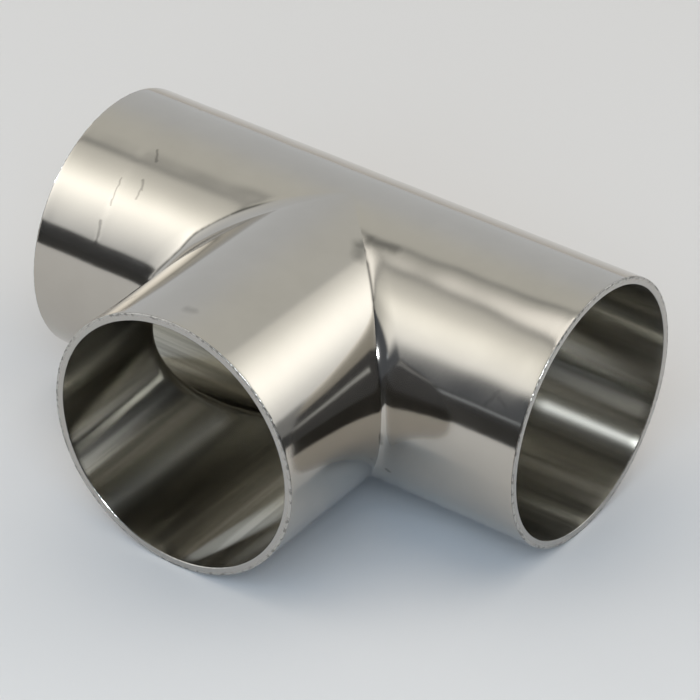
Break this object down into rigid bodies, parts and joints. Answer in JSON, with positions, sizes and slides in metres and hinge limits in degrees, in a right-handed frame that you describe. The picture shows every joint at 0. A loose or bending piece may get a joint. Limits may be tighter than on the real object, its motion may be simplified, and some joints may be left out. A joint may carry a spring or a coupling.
{
  "type": "sanitary butt-weld tee",
  "caption": "Short equal tee of thin-walled stainless tube with plain square ends for butt welding; a straight run with a branch of the same bore.",
  "frame": {"origin": "where the axis of the run crosses the axis of the branch", "axes": "+X along the run, -Y along the branch towards its mouth, +Z square to both"},
  "size_m": [0.105, 0.078, 0.051],
  "materials": {
    "polished_steel": "polished outside and inside, slightly satin, with a few scuffs"
  },
  "bodies": {
    "root": {"tee_body": "polished_steel"}
  },
  "joints": []
}
